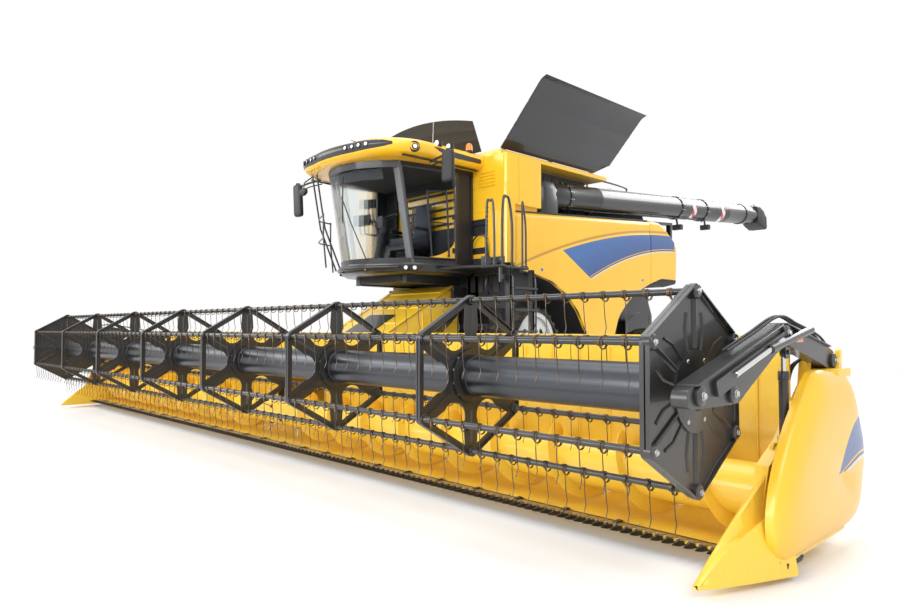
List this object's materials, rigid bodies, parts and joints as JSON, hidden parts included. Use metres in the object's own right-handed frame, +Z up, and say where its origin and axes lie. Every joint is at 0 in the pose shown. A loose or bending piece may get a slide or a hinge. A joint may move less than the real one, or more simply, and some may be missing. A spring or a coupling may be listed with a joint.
{
  "type": "combine harvester",
  "caption": "Half-track combine harvester with a wide cutting header and reel, glazed cab, open grain tank covers and a side unloading auger.",
  "frame": {"origin": "on the ground under the middle of the whole machine's box", "axes": "+X to the machine's left, -Y to the front, +Z up"},
  "size_m": [13, 13.4782, 4.9705],
  "materials": {
    "yellow_paint": "gloss",
    "black_paint": "satin",
    "grey_metal": "satin",
    "steel": "satin",
    "chrome_rod": "polished",
    "white_paint": "satin",
    "tyre_rubber": "matte",
    "track_rubber": "matte",
    "black_plastic": "matte",
    "cab_glass": "polished",
    "seat_cloth": "matte",
    "engine_iron": "matte"
  },
  "bodies": {
    "machine": {"main_frame": "black_paint", "threshing_body": "black_paint", "service_towers": "yellow_paint", "grain_tank": "black_paint", "engine_block": "engine_iron", "engine_hood": "black_paint", "rear_shell": "yellow_paint", "rear_axle": "black_paint", "track_belt_left": "track_rubber", "track_belt_right": "track_rubber", "track_frame_left": "white_paint", "track_frame_right": "white_paint", "cab_frame": "black_paint", "windscreen": "cab_glass", "right_window": "cab_glass", "cab_base": "black_paint", "operator_seat": "seat_cloth", "cab_roof": "yellow_paint", "mirror_left": "black_plastic", "mirror_right": "black_plastic", "platform": "black_paint"},
    "knuckle_left": {"steering_knuckle_left": "black_paint"},
    "knuckle_right": {"steering_knuckle_right": "black_paint"},
    "rear_wheel_left": {"rear_rim_left": "white_paint", "rear_tyre_left": "tyre_rubber"},
    "rear_wheel_right": {"rear_rim_right": "white_paint", "rear_tyre_right": "tyre_rubber"},
    "spreader_left": {"straw_spreader_left": "black_paint"},
    "spreader_right": {"straw_spreader_right": "black_paint"},
    "cab_door": {"cab_door_frame": "black_paint", "cab_door_glass": "cab_glass"},
    "ladder": {"ladder": "black_paint"},
    "panel_left": {"side_panel_left": "yellow_paint"},
    "panel_right": {"side_panel_right": "yellow_paint"},
    "cover_left": {"tank_cover_left": "black_paint"},
    "cover_right": {"tank_cover_right": "black_paint"},
    "front_extension": {"tank_front_extension": "black_paint"},
    "unloading_auger": {"unloading_auger": "black_paint"},
    "spout": {"unloading_spout": "black_plastic"},
    "feeder": {"feeder_house": "yellow_paint", "header_frame": "yellow_paint", "header_end_left": "yellow_paint", "header_end_right": "yellow_paint"},
    "lift_barrels": {"lift_barrels": "black_paint"},
    "lift_rods": {"lift_rods": "chrome_rod"},
    "knife": {"knife": "steel"},
    "intake_auger": {"intake_auger": "yellow_paint"},
    "reel_arms": {"reel_arm_left": "black_paint", "reel_arm_right": "black_paint"},
    "reel_barrel_left": {"reel_barrel_left": "black_paint"},
    "reel_rod_left": {"reel_rod_left": "chrome_rod"},
    "reel_barrel_right": {"reel_barrel_right": "black_paint"},
    "reel_rod_right": {"reel_rod_right": "chrome_rod"},
    "reel": {"reel_rotor": "black_paint"},
    "tine_bar_1": {"tine_bar_1": "grey_metal"},
    "tine_bar_2": {"tine_bar_2": "grey_metal"},
    "tine_bar_3": {"tine_bar_3": "grey_metal"},
    "tine_bar_4": {"tine_bar_4": "grey_metal"},
    "tine_bar_5": {"tine_bar_5": "grey_metal"},
    "tine_bar_6": {"tine_bar_6": "grey_metal"}
  },
  "joints": [
    {"name": "steer_left", "type": "hinge", "parent": "machine", "child": "knuckle_left", "pos_m": [0.95, 1.55914, 0.745], "axis": [0, 0, 1], "range_deg": [-38, 38]},
    {"name": "rear_wheel_spin_left", "type": "hinge", "parent": "knuckle_left", "child": "rear_wheel_left", "pos_m": [1.4, 1.55914, 0.745], "axis": [1, 0, 0], "continuous": true},
    {"name": "spreader_spin_left", "type": "hinge", "parent": "machine", "child": "spreader_left", "pos_m": [0.38, 2.71914, 1], "axis": [0, 0, 1], "continuous": true},
    {"name": "steer_right", "type": "hinge", "parent": "machine", "child": "knuckle_right", "pos_m": [-0.95, 1.55914, 0.745], "axis": [0, 0, 1], "range_deg": [-38, 38]},
    {"name": "rear_wheel_spin_right", "type": "hinge", "parent": "knuckle_right", "child": "rear_wheel_right", "pos_m": [-1.4, 1.55914, 0.745], "axis": [1, 0, 0], "continuous": true},
    {"name": "spreader_spin_right", "type": "hinge", "parent": "machine", "child": "spreader_right", "pos_m": [-0.38, 2.71914, 1], "axis": [0, 0, 1], "continuous": true},
    {"name": "door_hinge", "type": "hinge", "parent": "machine", "child": "cab_door", "pos_m": [1.0149, -3.03686, 3.1], "axis": [0, 0, 1], "range_deg": [0, 80]},
    {"name": "ladder_swing", "type": "hinge", "parent": "machine", "child": "ladder", "pos_m": [1.935, -3.14086, 2.2], "axis": [0, 0, -1], "range_deg": [0, 90]},
    {"name": "panel_lift_left", "type": "hinge", "parent": "machine", "child": "panel_left", "pos_m": [1.6, -0.64086, 3.29973], "axis": [0, -0.9975, -0.0712], "range_deg": [0, 70]},
    {"name": "panel_lift_right", "type": "hinge", "parent": "machine", "child": "panel_right", "pos_m": [-1.6, -0.64086, 3.29973], "axis": [0, 0.9975, 0.0712], "range_deg": [0, 70]},
    {"name": "cover_fold_left", "type": "hinge", "parent": "machine", "child": "cover_left", "pos_m": [1.33, -1.24086, 4.0923], "axis": [0, -1, 0], "range_deg": [0, 133]},
    {"name": "cover_fold_right", "type": "hinge", "parent": "machine", "child": "cover_right", "pos_m": [-1.33, -1.24086, 4.0923], "axis": [0, 1, 0], "range_deg": [0, 133]},
    {"name": "extension_fold", "type": "hinge", "parent": "machine", "child": "front_extension", "pos_m": [0, -2.63086, 4.0853], "axis": [-1, 0, 0], "range_deg": [0, 121]},
    {"name": "auger_swing", "type": "hinge", "parent": "machine", "child": "unloading_auger", "pos_m": [1.37, -1.58086, 3.3], "axis": [0, 0, -1], "range_deg": [0, 105]},
    {"name": "spout_turn", "type": "hinge", "parent": "unloading_auger", "child": "spout", "pos_m": [1.37, 5.85914, 4.11916], "axis": [0, 0.9971, 0.0763], "range_deg": [-30, 30]},
    {"name": "feeder_lift", "type": "hinge", "parent": "machine", "child": "feeder", "pos_m": [0, -2.76086, 2], "axis": [-1, 0, 0], "range_deg": [0, 20]},
    {"name": "lift_barrel_swing", "type": "hinge", "parent": "machine", "child": "lift_barrels", "pos_m": [0, -2.47086, 0.64], "axis": [-1, 0, 0], "range_deg": [-1, 17.9]},
    {"name": "lift_rod_slide", "type": "slide", "parent": "lift_barrels", "child": "lift_rods", "axis": [0, -0.9973, -0.0739], "range_m": [-0.01, 0.485]},
    {"name": "reel_lift", "type": "hinge", "parent": "feeder", "child": "reel_arms", "pos_m": [0, -4.57086, 1.26], "axis": [-1, 0, 0], "range_deg": [-5, 20]},
    {"name": "reel_spin", "type": "hinge", "parent": "reel_arms", "child": "reel", "pos_m": [0, -6.21086, 1.138], "axis": [1, 0, 0], "continuous": true},
    {"name": "tine_bar_turn_1", "type": "hinge", "parent": "reel", "child": "tine_bar_1", "pos_m": [0, -6.21086, 1.7], "axis": [1, 0, 0], "continuous": true},
    {"name": "tine_bar_turn_2", "type": "hinge", "parent": "reel", "child": "tine_bar_2", "pos_m": [0, -6.69757, 1.419], "axis": [1, 0, 0], "continuous": true},
    {"name": "tine_bar_turn_3", "type": "hinge", "parent": "reel", "child": "tine_bar_3", "pos_m": [0, -6.69757, 0.857], "axis": [1, 0, 0], "continuous": true},
    {"name": "tine_bar_turn_4", "type": "hinge", "parent": "reel", "child": "tine_bar_4", "pos_m": [0, -6.21086, 0.576], "axis": [1, 0, 0], "continuous": true},
    {"name": "tine_bar_turn_5", "type": "hinge", "parent": "reel", "child": "tine_bar_5", "pos_m": [0, -5.72416, 0.857], "axis": [1, 0, 0], "continuous": true},
    {"name": "tine_bar_turn_6", "type": "hinge", "parent": "reel", "child": "tine_bar_6", "pos_m": [0, -5.72416, 1.419], "axis": [1, 0, 0], "continuous": true},
    {"name": "reel_barrel_swing_left", "type": "hinge", "parent": "feeder", "child": "reel_barrel_left", "pos_m": [6.315, -5.35086, 0.7], "axis": [1, 0, 0], "range_deg": [-12, 12]},
    {"name": "reel_rod_slide_left", "type": "slide", "parent": "reel_barrel_left", "child": "reel_rod_left", "axis": [0, 0, 1], "range_m": [-0.1, 0.4]},
    {"name": "reel_barrel_swing_right", "type": "hinge", "parent": "feeder", "child": "reel_barrel_right", "pos_m": [-6.315, -5.35086, 0.7], "axis": [1, 0, 0], "range_deg": [-12, 12]},
    {"name": "reel_rod_slide_right", "type": "slide", "parent": "reel_barrel_right", "child": "reel_rod_right", "axis": [0, 0, 1], "range_m": [-0.1, 0.4]},
    {"name": "knife_stroke", "type": "slide", "parent": "feeder", "child": "knife", "axis": [1, 0, 0], "range_m": [-0.038, 0.038]},
    {"name": "intake_spin", "type": "hinge", "parent": "feeder", "child": "intake_auger", "pos_m": [0, -5.30086, 0.43], "axis": [1, 0, 0], "continuous": true}
  ],
  "couplings": [
    {"joint": "steer_right", "follows": "steer_left", "ratio": 1},
    {"joint": "tine_bar_turn_1", "follows": "reel_spin", "ratio": -1},
    {"joint": "tine_bar_turn_2", "follows": "reel_spin", "ratio": -1},
    {"joint": "tine_bar_turn_3", "follows": "reel_spin", "ratio": -1},
    {"joint": "tine_bar_turn_4", "follows": "reel_spin", "ratio": -1},
    {"joint": "tine_bar_turn_5", "follows": "reel_spin", "ratio": -1},
    {"joint": "tine_bar_turn_6", "follows": "reel_spin", "ratio": -1},
    {"joint": "lift_barrel_swing", "follows": "feeder_lift", "ratio": 0.7974},
    {"joint": "lift_rod_slide", "follows": "feeder_lift", "m_per_rad": 1.3323},
    {"joint": "reel_barrel_swing_left", "follows": "reel_lift", "ratio": -0.2047},
    {"joint": "reel_rod_slide_left", "follows": "reel_lift", "m_per_rad": 0.7638},
    {"joint": "reel_barrel_swing_right", "follows": "reel_lift", "ratio": -0.2047},
    {"joint": "reel_rod_slide_right", "follows": "reel_lift", "m_per_rad": 0.7638}
  ]
}
